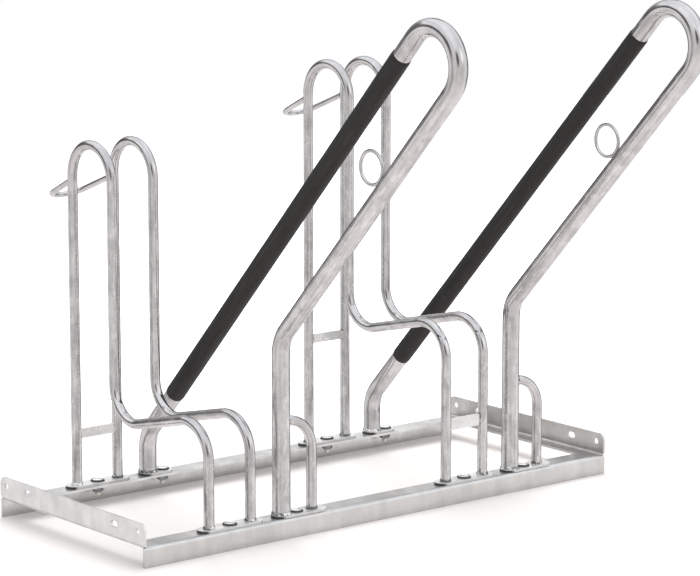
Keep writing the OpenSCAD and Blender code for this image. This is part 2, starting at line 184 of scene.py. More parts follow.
def bent_line(start, heading, normal, steps, spacing=0.004):
    """A flat line of straights and arcs, as (points, headings, distances along it, share of bend). A
    straight is start + heading * s. An arc is centre + radius * (sin a * heading - cos a * inward), with a
    from 0 to its turn. Each step is (straight, bend radius, turn), a turn above zero going from the heading
    towards normal x heading."""
    points, headings, bends = [], [], []
    here, heading = np.array(start, float), np.array(heading, float)
    for straight, radius, turn in steps:
        s = np.linspace(0, straight, max(2, int(straight / spacing)))[:, None]
        points.append(here + heading * s)
        headings.append(np.repeat(heading[None], len(s), 0))
        bends.append(np.zeros(len(s)))
        here = here + heading * straight
        if turn:
            inward = np.cross(normal, heading) * np.sign(turn)
            end = abs(turn)
            a = np.linspace(0, end, max(6, int(radius * end / (0.7 * spacing))))[1:-1, None]
            centre = here + inward * radius
            points.append(centre + radius * (np.sin(a) * heading - np.cos(a) * inward))
            headings.append(np.cos(a) * heading + np.sin(a) * inward)
            bends.append(np.ones(len(a)))
            here = centre + radius * (np.sin(end) * heading - np.cos(end) * inward)
            heading = np.cos(end) * heading + np.sin(end) * inward
    points, headings, bends = np.concatenate(points), np.concatenate(headings), np.concatenate(bends)
    along = np.concatenate([[0], np.cumsum(np.linalg.norm(np.diff(points, axis=0), axis=1))])
    shifts = np.linspace(-0.012, 0.012, 7)
    soft = np.array([np.interp(along + shift, along, bends) for shift in shifts]).mean(0)
    return points, headings, along, soft


def tube_grid(line, normal, radius, around, seed, lumps=BAR_LUMPS, flatten=FLATTENED):
    """A round tube along a line, as (points, lie, gloss): centre + r * (cos q * side + sin q * normal), with
    side = normal x heading. In a bend r * cos q shrinks a little, as a bent tube flattens, and r swells and
    sinks in long low waves, as the molten zinc ran off it."""
    points, headings, along, bends = line
    q = np.linspace(0, 2 * np.pi, around, endpoint=False)[None, :, None]
    side = np.cross(normal, headings)[:, None, :]
    phase = np.random.default_rng(seed).uniform(0, 2 * np.pi, 8)
    s = along[:, None, None]
    waves = sum(np.sin(s * (40 + 37 * k) + (k % 3) * q + phase[k]) for k in range(8)) / 8
    r = radius - lumps * (1 - waves)
    width = 1 - flatten * bends[:, None, None]
    grid = points[:, None, :] + r * (np.cos(q) * width * side + np.sin(q) * normal)
    lie = np.concatenate([s + 0 * q, radius * np.cos(q) + 0 * s, radius * np.sin(q) + 0 * s], -1)
    lie[..., 0] += 3.1 * seed
    gloss = np.repeat(bends[:, None, None], around, 1)
    return grid[None], lie[None], gloss[None]


def tube_piece(name, line, normal, radius, around, seed, lumps=BAR_LUMPS):
    """A tube of zinc along a line, in place of the node of its own name."""
    grid, lie, gloss = tube_grid(line, normal, radius, around, seed, lumps)
    return piece(name + "_zinc", grid, zinc_tube, [name], lie=lie, gloss=gloss)


def bead_grid(path, out, up, size, ripples, seed):
    """A weld bead round a closed path: path + r * (cos p * out + sin p * up). r is the bead's size with one
    swell for each ripple, the arc's puddles lying on each other like coins, and some unevenness."""
    t = np.linspace(0, 1, len(path), endpoint=False)[:, None, None]
    p = np.linspace(0, 2 * np.pi, 14, endpoint=False)[None, :, None]
    phase = np.random.default_rng(seed).uniform(0, 2 * np.pi, 6)
    uneven = sum(np.sin(2 * np.pi * (k + 1) * t + phase[k]) for k in range(6)) / 6
    coin = np.abs(np.sin(np.pi * ripples * t + 0.5 * np.cos(p)))
    r = size * (0.86 + 0.16 * coin + 0.20 * uneven)
    return path[:, None, :] + r * (np.cos(p) * out[:, None, :] + np.sin(p) * up[:, None, :])


def foot_bead(x, y, tube_r, size, ripples, seed):
    """The bead round a tube's foot, on its plate: a circle of the tube's radius at the plate's top."""
    a = np.linspace(0, 2 * np.pi, 120, endpoint=False)[:, None]
    out = np.cos(a) * RIGHT + np.sin(a) * REAR
    path = np.array([x, y, PLATE_TOP]) + tube_r * out + 0.6 * size * UP
    return bead_grid(path, out, np.repeat(2.2 * UP[None], len(a), 0), size, ripples, seed)


def saddle_bead(centre, direction, rod_r, leg, leg_r, size, seed):
    """The bead where a rod runs into an upright tube: a circle round the rod's axis, each point carried along
    the rod until it is leg_r from the tube's axis."""
    direction = direction / np.linalg.norm(direction)
    across = np.cross(direction, UP)
    across = across / np.linalg.norm(across)
    above = np.cross(across, direction)
    a = np.linspace(0, 2 * np.pi, 72, endpoint=False)[:, None]
    out = np.cos(a) * across + np.sin(a) * above
    start = centre + (rod_r + 0.15 * size) * out - np.append(leg, 0.0)
    flat = direction[:2]
    b = start[:, :2] @ flat
    c = (start[:, :2] ** 2).sum(1) - (leg_r + 0.1 * size) ** 2
    k = flat @ flat
    reach = (-b + np.sqrt(np.maximum(b * b - k * c, 0))) / k
    path = start + reach[:, None] * direction + np.append(leg, 0.0)
    return bead_grid(path, out, np.repeat(direction[None], len(a), 0), size, 9, seed)


def turned_grid(z, r, around=48):
    """Rows of a turned shape: (r cos q, r sin q, z), where r is a row's radius or its radius at each q."""
    q = np.linspace(0, 2 * np.pi, around, endpoint=False)[None, :]
    r = np.array(r, float)
    r = r[:, None] + 0 * q if r.ndim == 1 else r
    return np.stack([r * np.cos(q), r * np.sin(q), np.array(z, float)[:, None] + 0 * q], -1)


# Node materials

def put(tree, kind, inputs=None, **settings):
    """Adds a shader node. inputs gives its sockets, by name or number, a value or another node's output."""
    made = tree.nodes.new("ShaderNode" + kind)
    for key, value in settings.items():
        setattr(made, key, value)
    for key, value in (inputs or {}).items():
        if isinstance(value, bpy.types.NodeSocket):
            tree.links.new(value, made.inputs[key])
        else:
            made.inputs[key].default_value = value
    return made


def total(tree, first, second):
    """The sum of two values."""
    return put(tree, "Math", {0: first, 1: second}, operation="ADD").outputs[0]


def product(tree, first, second):
    """One value times another."""
    return put(tree, "Math", {0: first, 1: second}, operation="MULTIPLY").outputs[0]


def blend(tree, share, first, second, **settings):
    """The first colour at share 0, going to the second at share 1."""
    return put(tree, "Mix", {"Factor": share, 6: first, 7: second}, data_type="RGBA", **settings).outputs[2]


def carried(tree, value, start, end, low=0.0, high=1.0):
    """A value carried from the range of start and end to that of low and high, and held at its ends."""
    inputs = {"Value": value, "From Min": start, "From Max": end, "To Min": low, "To Max": high}
    return put(tree, "MapRange", inputs).outputs["Result"]


def ramp(tree, value, stops):
    """A colour ramp through stops of (place, colour)."""
    made = put(tree, "ValToRGB", {"Fac": value})
    elements = made.color_ramp.elements
    while len(elements) < len(stops):
        elements.new(0.5)
    for element, (place, colour) in zip(elements, stops):
        element.position = place
        element.color = (*colour, 1)
    return made.outputs["Color"]


def noise(tree, where, scale, detail, roughness=0.5):
    """Cloudy values about 0.5, finer where the scale is larger."""
    inputs = {"Vector": where, "Scale": scale, "Detail": detail, "Roughness": roughness}
    return put(tree, "TexNoise", inputs).outputs["Fac"]


def stretched(tree, place, scale):
    """The place with each axis scaled, which draws a pattern out along the axes with a small scale."""
    return put(tree, "Mapping", {"Vector": place, "Scale": scale}).outputs["Vector"]


def axis_of(tree, vector, axis):
    """One axis of a vector."""
    return put(tree, "SeparateXYZ", {"Vector": vector}).outputs[axis]


def plain_material(name):
    """An empty node material, its tree and its Principled shader."""
    material = bpy.data.materials.new(name)
    material.use_nodes = True
    tree = material.node_tree
    return material, tree, tree.nodes["Principled BSDF"]


def by_tube(tree):
    """Places along and across the tube, from the piece's own attribute."""
    return put(tree, "Attribute", attribute_name="lie").outputs["Vector"]


def by_object(tree):
    """Places in the rack's frame."""
    return put(tree, "TexCoord").outputs["Object"]


def in_bends(tree):
    """1 in a tube's bends and 0 on its straights."""
    return put(tree, "Attribute", attribute_name="gloss").outputs["Fac"]


def head_rims_painted_shade(tree):
    """Painted shade: 1 at the rims of the bolts' heads and 0 on their tops, kept in the same attribute as a
    tube's bends.
    """
    return in_bends(tree)


def plate_ends_painted_shade(tree):
    """Painted shade: 0 on the foot plates' tops, a little on their cut sides and 1 on their left ends."""
    facing = put(tree, "NewGeometry").outputs["Normal"]
    side = carried(tree, axis_of(tree, by_object(tree), "Z"), PLATE_TOP - 0.0002, PLATE_TOP - 0.0010)
    return product(tree, side, carried(tree, axis_of(tree, facing, "X"), -0.10, -0.50, low=0.20))


# The zinc's patterns: their scales, the share of the frost, and how scuffs and bends change the gloss
CLOUD_SCALE = 30.0
FROST_SCALE = 240.0
FROST_SHARE = 0.10
WAVE_SCALE = 70.0
WAVE_DEPTH = 0.0003
SCUFF_SCALE = 100.0
SCUFF_STRETCH = (0.4, 1.3, 1.3)
SCUFFS_START = 0.50
SCUFFS_FULL = 0.68
SCUFF_DULLS = 0.30
SCUFFS_IN_BENDS = 0.15
BEND_POLISH = 0.22
SCUFF = (0.80, 0.79, 0.78)
# Near black of the painted shade on the bolts' head rims and the foot plates' left ends
PAINTED_SHADE = (0.05, 0.05, 0.05)


def zinc(name, place, dark, light, rough, streak, bump=0.35, bends=None, scuffs=0.0, rims=None,
         tones=(0.75, 1.35), metal=0.9):
    """Hot dip zinc: soft clouds, runs drawn out along streak, a faint frost of crystals and pale scuffs. Its
    low waves bend what it mirrors. The polished bends, where bends is given, are smoother and have few
    scuffs, and painted shade darkens the masked rims and ends, where rims is given."""
    material, tree, shader = plain_material(name)
    where = place(tree)
    clouds = noise(tree, where, CLOUD_SCALE, 2.0)
    runs = noise(tree, stretched(tree, where, streak), 1.0, 3.0)
    frost = put(tree, "TexVoronoi", {"Vector": where, "Scale": FROST_SCALE}).outputs["Color"]
    frost = put(tree, "SeparateColor", {"Color": frost}).outputs["Red"]
    tone = total(tree, total(tree, clouds, runs), product(tree, frost, FROST_SHARE))
    tone = carried(tree, tone, *tones)
    colour = ramp(tree, tone, [(0.0, dark), (1.0, light)])
    roughness = carried(tree, tone, 0.0, 1.0, rough[1], rough[0])
    strength = bump
    if scuffs:
        marks = noise(tree, stretched(tree, where, SCUFF_STRETCH), SCUFF_SCALE, 4.0, 0.6)
        marks = carried(tree, marks, SCUFFS_START, SCUFFS_FULL, high=scuffs)
        marks = product(tree, marks, carried(tree, bends(tree), 0.0, 1.0, 1.0, SCUFFS_IN_BENDS))
        colour = blend(tree, marks, colour, (*SCUFF, 1))
        roughness = total(tree, roughness, product(tree, marks, SCUFF_DULLS))
    # Painted shade: where the mask is 1 the colour goes to near black
    if rims:
        colour = blend(tree, rims(tree), colour, (*PAINTED_SHADE, 1))
    if bends:
        roughness = product(tree, roughness, carried(tree, bends(tree), 0.0, 1.0, 1.0, BEND_POLISH))
        strength = carried(tree, bends(tree), 0.0, 1.0, bump, 0.5 * bump)
    height = total(tree, noise(tree, where, WAVE_SCALE, 2.0), runs)
    normal = put(tree, "Bump", {"Height": height, "Strength": strength, "Distance": WAVE_DEPTH})
    tree.links.new(colour, shader.inputs["Base Color"])
    tree.links.new(roughness, shader.inputs["Roughness"])
    tree.links.new(normal.outputs["Normal"], shader.inputs["Normal"])
    shader.inputs["Metallic"].default_value = metal
    return material


def sleeve_plastic():
    """Matt black shrink sleeve: a fine orange peel, faint rub marks along it and a few light scuffs."""
    material, tree, shader = plain_material("black_sleeve_plastic")
    where = by_tube(tree)
    rubs = noise(tree, stretched(tree, where, (14.0, 300.0, 300.0)), 1.0, 4.0)
    stops = [(0.30, (0.015, 0.014, 0.013)), (0.62, (0.020, 0.019, 0.018)), (0.80, (0.042, 0.040, 0.038))]
    peel = noise(tree, where, 900.0, 2.0)
    normal = put(tree, "Bump", {"Height": peel, "Strength": 0.25, "Distance": 0.0003})
    tree.links.new(ramp(tree, rubs, stops), shader.inputs["Base Color"])
    tree.links.new(carried(tree, rubs, 0.0, 1.0, 0.72, 0.52), shader.inputs["Roughness"])
    tree.links.new(normal.outputs["Normal"], shader.inputs["Normal"])
    shader.inputs["Specular IOR Level"].default_value = 0.35
    return material


# Each finish: its dark and light zinc, its roughness where light and dark, and the scale of its runs
PALE = (0.60, 0.58, 0.582)
TUBE_RUNS = (7.0, 210.0, 210.0)
ROD_RUNS = (9.0, 200.0, 200.0)
SHEET_RUNS = (45.0, 45.0, 5.0)
PLATE_RUNS = (90.0, 90.0, 90.0)
FINE_RUNS = (200.0, 200.0, 200.0)
WELD_RUNS = (210.0, 210.0, 210.0)
zinc_tube = zinc("zinc_on_tube", by_tube, (0.42, 0.403, 0.405), PALE, (0.13, 0.25), TUBE_RUNS,
                 bends=in_bends, scuffs=0.60, tones=(0.82, 1.28))
zinc_rod = zinc("zinc_on_rod", by_tube, (0.42, 0.42, 0.42), PALE, (0.12, 0.22), ROD_RUNS)
zinc_sheet = zinc("zinc_on_sheet", by_object, (0.54, 0.53, 0.525), (0.65, 0.635, 0.625), (0.28, 0.40),
                  SHEET_RUNS)
# A darker copy of the sheet's zinc for the right end angle's inner face: painted shade
zinc_sheet_painted_shade = zinc("zinc_on_sheet_painted_shade", by_object, (0.47, 0.45, 0.44), (0.57, 0.55, 0.53),
                       (0.30, 0.45), SHEET_RUNS)
# A lighter copy of the sheet's zinc for the rear rail and the left end angle: painted light
zinc_sheet_painted_light = zinc("zinc_on_sheet_painted_light", by_object, (0.60, 0.59, 0.585), (0.73, 0.72, 0.71), (0.26, 0.38),
                SHEET_RUNS)
# The plates' cut sides and left ends are darkened with painted shade
zinc_plate = zinc("zinc_on_plate", by_object, (0.66, 0.65, 0.645), (0.86, 0.85, 0.84), (0.22, 0.36),
                  PLATE_RUNS, rims=plate_ends_painted_shade, metal=0.4)
zinc_weld = zinc("zinc_on_weld", by_object, (0.16, 0.16, 0.16), (0.90, 0.89, 0.88), (0.10, 0.22), WELD_RUNS,
                 bump=1.0, tones=(1.02, 1.22))
zinc_bolt = zinc("zinc_on_bolt", by_object, (0.80, 0.79, 0.78), (0.92, 0.91, 0.90), (0.06, 0.12), FINE_RUNS,
                 bump=0.1, rims=head_rims_painted_shade, metal=0.8)
# A dark copy of the fasteners' zinc for the washers and nuts under the rails: painted shade
zinc_nut_painted_shade = zinc("zinc_on_fastener_painted_shade", by_object, (0.20, 0.20, 0.21), (0.30, 0.30, 0.31), (0.25, 0.40), FINE_RUNS,
                bump=0.2)
sleeve_black = sleeve_plastic()


# Wheel holders

def wheel_bar_line(x, lift):
    """A wheel bar's axis: up the rear leg, over the hoop, round the low rear bend, up the ramp and down in
    front."""
    hoop_z = HOOP_TOP - BAR_R - BAR_BEND
    rear_bend_z = RAMP_LOW + BAR_BEND
    span = REAR_LEG_Y - FRONT_LEG_Y - 4 * BAR_BEND
    run = (span - 2 * BAR_BEND * np.sin(RAMP_RISE)) / np.cos(RAMP_RISE)
    front_bend_z = rear_bend_z - 2 * BAR_BEND * np.cos(RAMP_RISE) + run * np.sin(RAMP_RISE)
    turn = np.pi / 2 + RAMP_RISE
    steps = [(hoop_z + lift - PLATE_TOP, BAR_BEND, np.pi),
             (hoop_z - rear_bend_z, BAR_BEND, -turn),
             (run, BAR_BEND, turn),
             (front_bend_z + lift - PLATE_TOP, 0, 0)]
    return bent_line((x, REAR_LEG_Y, PLATE_TOP), UP, RIGHT, steps)


def stop_loop_line(x, lift):
    """A stop loop's axis: from the right leg to the rear and down, round the end, back to the left leg."""
    middle = LOOP_REACH - LOOP_END_R
    corner = np.hypot(BAR_HALF_GAP, middle)
    arm = np.sqrt(corner ** 2 - LOOP_END_R ** 2)
    taper = np.arctan2(BAR_HALF_GAP, middle) - np.arcsin(LOOP_END_R / corner)
    fall = np.cos(LOOP_FALL) * REAR - np.sin(LOOP_FALL) * UP
    above = np.sin(LOOP_FALL) * REAR + np.cos(LOOP_FALL) * UP
    heading = np.cos(taper) * fall - np.sin(taper) * RIGHT
    start = np.array([x + BAR_HALF_GAP, REAR_LEG_Y, LOOP_Z + lift])
    inset = 0.7 * BAR_R
    steps = [(arm - inset, LOOP_END_R, np.pi - 2 * taper), (arm - inset, 0, 0)]
    return bent_line(start + inset * heading, heading, above, steps, 0.002), above, heading


def flat_bar_end_bead(x, side, depth, z, height, seed):
    """The bead round the end of a flat cross bar, on the leg: the bar's outline laid on the leg's round."""
    t = np.linspace(0, 2 * np.pi, 64, endpoint=False)
    half_t, half_h = 0.5 * CROSS_T + 0.0004, 0.5 * height + 0.0004
    square = 1 / (np.abs(np.cos(t)) ** 6 + np.abs(np.sin(t)) ** 6) ** (1 / 6)
    y, h = half_t * square * np.cos(t), half_h * square * np.sin(t)
    inward = side * np.sqrt(BAR_R ** 2 - y ** 2)
    path = np.stack([x + inward, depth + y, z + h], -1)
    out = np.stack([0 * t, np.cos(t), np.sin(t)], -1)
    return bead_grid(path, out, np.repeat(side * RIGHT[None], len(t), 0), SMALL_BEAD, 14, seed)


def cross_bar_beads(x, depth, z, height, seed):
    """The beads at both ends of a flat cross bar."""
    return [flat_bar_end_bead(x - side * BAR_HALF_GAP, side, depth, z, height, seed + side)
            for side in SIDES]


for number, (holder, x, lift) in enumerate(HOLDERS):
    for place, side in (("left", -1), ("right", 1)):
        line = wheel_bar_line(x + side * BAR_HALF_GAP, lift)
        tube_piece(f"{holder}_{place}_bar", line, RIGHT, BAR_R, 40, BAR_SEED + 2 * number + side)
    line, above, heading = stop_loop_line(x, lift)
    grid, lie, gloss = tube_grid(line, above, LOOP_R, 20, LOOP_SEED + number, LOOP_LUMPS, 0.0)
    piece(f"{holder}_stop_loop_zinc", grid, zinc_rod, [f"{holder}_stop_loop"], lie=lie,
          gloss=gloss)
    seed = FOOT_SEED + 8 * number
    feet = [foot_bead(x + side * BAR_HALF_GAP, y, BAR_R, FOOT_BEAD, 18, seed + 2 * k + side)
            for side in SIDES for k, y in enumerate((FRONT_LEG_Y, REAR_LEG_Y))]
    piece(f"{holder}_foot_welds", np.stack(feet), zinc_weld, rows_close=True)
    ends = cross_bar_beads(x, REAR_LEG_Y, CROSS_Z + lift, CROSS_H, CROSS_SEED + number)
    if lift:
        ends += cross_bar_beads(x, FRONT_LEG_Y, FRONT_CROSS_Z, FRONT_CROSS_H, FRONT_CROSS_SEED)
    piece(f"{holder}_cross_bar_welds", np.stack(ends), zinc_weld, rows_close=True)
    joints = []
    for side in SIDES:
        leg = np.array([x + side * BAR_HALF_GAP, REAR_LEG_Y])
        centre = np.array([*leg, LOOP_Z + lift])
        arm_heading = heading * np.array([side, 1, 1])
        seed = LOOP_JOINT_SEED + side
        joints.append(saddle_bead(centre, arm_heading, LOOP_R, leg, BAR_R, SMALL_BEAD, seed))
    piece(f"{holder}_stop_loop_welds", np.stack(joints), zinc_weld, rows_close=True)


# Lean-on bows

KNEE_TURN = np.pi / 2 - BOW_RISE
KNEE_RUN = KNEE_R * np.tan(KNEE_TURN / 2)
BOW_BEND_Z = BOW_TOP - BOW_R - BOW_BEND
SLOPE_LEN = (BOW_BEND_Z + BOW_BEND * np.cos(BOW_RISE) - REAR_KNEE_Z) / np.sin(BOW_RISE)
SLEEVE_LEN = SLOPE_LEN - SLEEVE_FROM - SLEEVE_BARE
LEG_SPAN = REAR_LEG_Y - FRONT_LEG_Y
FRONT_KNEE_Z = REAR_KNEE_Z + (LEG_SPAN * np.sin(BOW_RISE) - 2 * BOW_BEND) / np.cos(BOW_RISE)
FRONT_KNEE_AT = LEG_SPAN * np.cos(BOW_RISE) + (FRONT_KNEE_Z - REAR_KNEE_Z) * np.sin(BOW_RISE)
SLOPE = -np.cos(BOW_RISE) * REAR + np.sin(BOW_RISE) * UP
OFF_SLOPE = np.sin(BOW_RISE) * REAR + np.cos(BOW_RISE) * UP


def bow_line(x):
    """A bow's axis: rear foot, knee, the long slope, the round top, the front slope, knee and front foot."""
    steps = [(REAR_KNEE_Z - KNEE_RUN - PLATE_TOP, KNEE_R, KNEE_TURN),
             (SLOPE_LEN - KNEE_RUN, BOW_BEND, np.pi),
             (SLOPE_LEN - FRONT_KNEE_AT - KNEE_RUN, KNEE_R, -KNEE_TURN),
             (FRONT_KNEE_Z - KNEE_RUN - PLATE_TOP, 0, 0)]
    return bent_line((x, REAR_LEG_Y, PLATE_TOP), UP, RIGHT, steps, 0.005)


def sleeve_grid(x, seed):
    """The sleeve round the long slope: r(s) about the slope's line. Its ends are rolled over a wall's
    thickness, and it has faint swells where it shrank on the tube."""
    s = np.linspace(0, SLEEVE_LEN, 180)
    edge = np.minimum(s, SLEEVE_LEN - s) / (0.5 * SLEEVE_WALL)
    rim = np.sqrt(np.clip(1 - (1 - np.clip(edge, 0, 1)) ** 2, 0, 1))
    s = np.concatenate([[0.0], s, [SLEEVE_LEN]])
    rim = np.concatenate([[-1.0], rim, [-1.0]])
    q = np.linspace(0, 2 * np.pi, 48, endpoint=False)[None, :, None]
    phase = np.random.default_rng(seed).uniform(0, 2 * np.pi, 4)
    swell = sum(np.sin(s[:, None, None] * (23 + 31 * k) + k * q + phase[k]) for k in range(4)) / 4
    inner = BOW_R - 0.0002
    outer = BOW_R + SEAT_GAP + SLEEVE_WALL - 0.00012 * (1 - swell)
    share = np.where(rim < 0, 0, 0.6 + 0.4 * np.clip(rim, 0, 1))[:, None, None]
    r = inner + (outer - inner) * share
    foot = np.array([x, REAR_LEG_Y, REAR_KNEE_Z]) + SLEEVE_FROM * SLOPE
    side = np.cross(RIGHT, SLOPE)
    grid = foot + s[:, None, None] * SLOPE + r * (np.cos(q) * side + np.sin(q) * RIGHT)
    across = BOW_R * np.cos(q[..., 0])
    above = BOW_R * np.sin(q[..., 0])
    lie = np.stack(np.broadcast_arrays(s[:, None] + 5.0 * seed, across, above), -1)
    return grid[None], lie[None]


def ring_grid(x):
    """The lock ring: a circle of wire in the bow's plane, on the inner side of the front slope."""
    knee = np.array([x, FRONT_LEG_Y, FRONT_KNEE_Z])
    centre = knee + RING_FROM * SLOPE + (BOW_R + SEAT_GAP + RING_R + RING_WIRE_R) * OFF_SLOPE
    a = np.linspace(0, 2 * np.pi, 96, endpoint=False)[:, None, None]
    p = np.linspace(0, 2 * np.pi, 18, endpoint=False)[None, :, None]
    out = np.cos(a) * OFF_SLOPE + np.sin(a) * SLOPE
    grid = centre + (RING_R + RING_WIRE_R * np.cos(p)) * out + RING_WIRE_R * np.sin(p) * RIGHT
    across = RING_WIRE_R * np.cos(p[..., 0])
    above = RING_WIRE_R * np.sin(p[..., 0])
    lie = np.stack(np.broadcast_arrays(RING_R * a[..., 0], across, above), -1)
    return grid[None, ::-1], lie[None, ::-1]


def ring_bead(x, seed):
    """The bead where the lock ring meets the bow: a long oval on the tube's round."""
    t = np.linspace(0, 2 * np.pi, 64, endpoint=False)[:, None]
    knee = np.array([x, FRONT_LEG_Y, FRONT_KNEE_Z])
    across = 0.0040 * np.sin(t)
    height = np.sqrt(BOW_R ** 2 - across ** 2)
    path = knee + (RING_FROM + 0.0100 * np.cos(t)) * SLOPE + height * OFF_SLOPE + across * RIGHT
    out = np.cos(t) * SLOPE + np.sin(t) * RIGHT
    return bead_grid(path, out, np.repeat(OFF_SLOPE[None], len(t), 0), SMALL_BEAD, 14, seed)


def brace_line(x):
    """A brace's axis: up from the front foot plate and round into the bow's front leg."""
    steps = [(BRACE_H - BRACE_BEND - PLATE_TOP, BRACE_BEND, np.pi / 2),
             (BRACE_OFF - BRACE_BEND - 0.8 * BOW_R, 0, 0)]
    return bent_line((x + BRACE_OFF, FRONT_LEG_Y, PLATE_TOP), UP, -REAR, steps, 0.003)


for number, (place, x) in enumerate(BOWS):
    tube_piece(f"{place}_lean_bow", bow_line(x), RIGHT, BOW_R, 56, BOW_SEED + number, BOW_LUMPS)
    tube_piece(f"{place}_bow_brace", brace_line(x), -REAR, BAR_R, 40, BRACE_SEED + number)
    grid, lie = sleeve_grid(x, SLEEVE_SEED + number)
    piece(f"{place}_bow_sleeve_skin", grid, sleeve_black, [f"{place}_bow_sleeve"], lie=lie)
    grid, lie = ring_grid(x)
    piece(f"{place}_lock_ring_wire", grid, zinc_rod, [f"{place}_lock_ring"], True, lie=lie)
    feet = [foot_bead(x, y, BOW_R, BOW_FOOT_BEAD, 30, BOW_FOOT_SEED + 4 * number + k)
            for k, y in enumerate((FRONT_LEG_Y, REAR_LEG_Y))]
    piece(f"{place}_bow_foot_welds", np.stack(feet), zinc_weld, rows_close=True)
    foot = foot_bead(x + BRACE_OFF, FRONT_LEG_Y, BAR_R, FOOT_BEAD, 18, BRACE_FOOT_SEED + number)
    piece(f"{place}_brace_foot_weld", foot[None], zinc_weld, rows_close=True)
    leg = np.array([x, FRONT_LEG_Y])
    centre = np.array([*leg, BRACE_H])
    joint = saddle_bead(centre, RIGHT, BAR_R, leg, BOW_R, BRACE_BEAD, BRACE_JOINT_SEED + number)
    piece(f"{place}_brace_weld", joint[None], zinc_weld, rows_close=True)
    ring_weld = ring_bead(x, RING_SEED + number)
    piece(f"{place}_lock_ring_weld", ring_weld[None], zinc_weld, rows_close=True)


# Fasteners

def at_bolts(grid, z):
    """A fastener's grid at each of the eight bolts, at height z."""
    xs = [LOW_X, LOW_X + BOW_OFF + BOLT_OFF, HIGH_X, HIGH_X + BOW_OFF + BOLT_OFF]
    places = np.array([(x, y, z) for x in xs for y in (FRONT_LEG_Y, REAR_LEG_Y)])
    return grid[None] + places[:, None, None, :]


def bolt_grid():
    """A carriage bolt: a dome h * (1 - (r / R) ** 4) ** 0.6, a square neck r = half / max(|cos q|, |sin q|),
    and a shank whose radius falls by a triangle wave of z / pitch + q / turn for the thread. Its gloss is the
    painted shade at the head's rim."""
    q = np.linspace(0, 2 * np.pi, 48, endpoint=False)[None, :]
    r = HEAD_R * np.sin(np.linspace(0.02, 1, 18) * np.pi / 2)
    head_z = np.maximum(0.92 * HEAD_H * (1 - (r / HEAD_R) ** 4) ** 0.6, 0.0004)
    head = np.concatenate([r, [HEAD_R]])[:, None] + 0 * q
    neck = BOLT_R / np.maximum(np.abs(np.cos(q)), np.abs(np.sin(q)))
    neck = np.repeat(np.minimum(neck, 1.3 * BOLT_R), 2, 0)
    shank_z = np.linspace(-0.0052, -BOLT_LEN, 100)
    wave = np.abs((shank_z[:, None] / BOLT_PITCH + q / (2 * np.pi)) % 1 - 0.5) * 2
    taper = np.clip((shank_z + BOLT_LEN) / 0.001, 0, 1)[:, None]
    shank = BOLT_R - 0.0001 - 0.0008 * wave - 0.0010 * (1 - taper)
    z = np.concatenate([head_z, [0.0], [0.0, -0.005], shank_z])
    r = np.concatenate([head, neck, shank])
    grid = turned_grid(z, r)[::-1]
    # Painted shade at the head's outer rim, from 0.80 to 0.90 of its radius
    rim = np.clip((np.hypot(grid[..., :1], grid[..., 1:2]) / HEAD_R - 0.80) / 0.10, 0, 1)
    return grid, rim


def washer_grid():
    """A flat washer's section carried round: a rounded oblong between its bore and its rim."""
    t = np.linspace(0, 2 * np.pi, 24, endpoint=False)
    square = 1 / (np.abs(np.cos(t)) ** 8 + np.abs(np.sin(t)) ** 8) ** (1 / 8)
    bore = BOLT_R + SEAT_GAP
    r = 0.5 * (WASHER_R + bore) + 0.5 * (WASHER_R - bore) * square * np.cos(t)
    z = 0.5 * WASHER_T + 0.5 * WASHER_T * square * np.sin(t)
    return turned_grid(z, r)[::-1]


def nut_grid():
    """A hexagon nut: its sides r = half width / cos(q from a flat's middle), cut at both ends by a cone, and a
    plain bore."""
    q = np.linspace(0, 2 * np.pi, 96, endpoint=False)[None, :]
    hexagon = NUT_HALF_AF / np.cos((q + np.pi / 6) % (np.pi / 3) - np.pi / 6)
    z = np.linspace(0, NUT_H, 13)
    cone = NUT_HALF_AF * 0.98 + np.minimum(z, NUT_H - z)[:, None] * 1.7
    sides = np.minimum(hexagon, cone)
    bore = BOLT_R + SEAT_GAP + 0 * q
    r = np.concatenate([bore, sides, bore])
    z = np.concatenate([[0.0], z, [NUT_H]])
    return turned_grid(z, r, 96)


WASHER_Z = RAIL_TOP - SHEET - WASHER_T
bolt, rim = bolt_grid()
piece("domed_bolts", at_bolts(bolt, PLATE_TOP), zinc_bolt, ["carriage_bolts"],
      gloss=np.repeat(rim[None], 8, 0))
# The washers and nuts under the rails get zinc darkened with painted shade
piece("flat_washers", at_bolts(washer_grid(), WASHER_Z), zinc_nut_painted_shade, ["washers"], True)
piece("hexagon_nuts", at_bolts(nut_grid(), WASHER_Z - NUT_H), zinc_nut_painted_shade, ["nuts"], True)


# Finishes of the solids that stay as they are: rails and end angles by name, and the plates and cross bars

# The rear rail and the left end angle get the sheet's zinc lightened with painted light, and the right end
# angle gets it darkened with painted shade
FINISHES = {"front_rail": zinc_sheet, "rear_rail": zinc_sheet_painted_light, "left_end_angle": zinc_sheet_painted_light,
            "right_end_angle": zinc_sheet_painted_shade}
for name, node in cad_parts.items():
    for material_slot in node.material_slots:
        material_slot.material = FINISHES.get(name, zinc_plate)


# Floor, light and camera

PAPER = (0.93, 0.90, 0.885)
# How much the paper glows for the camera near the rack and far from it, and where the two start
NEAR_GLOW = 0.09
FAR_GLOW = 0.6
NEAR_EDGE = 0.6
FAR_EDGE = 1.6
# Metal mirrors the paper up to here, and past there it looks through it
MIRRORED_TO = 0.02
CLEAR_FROM = 0.14


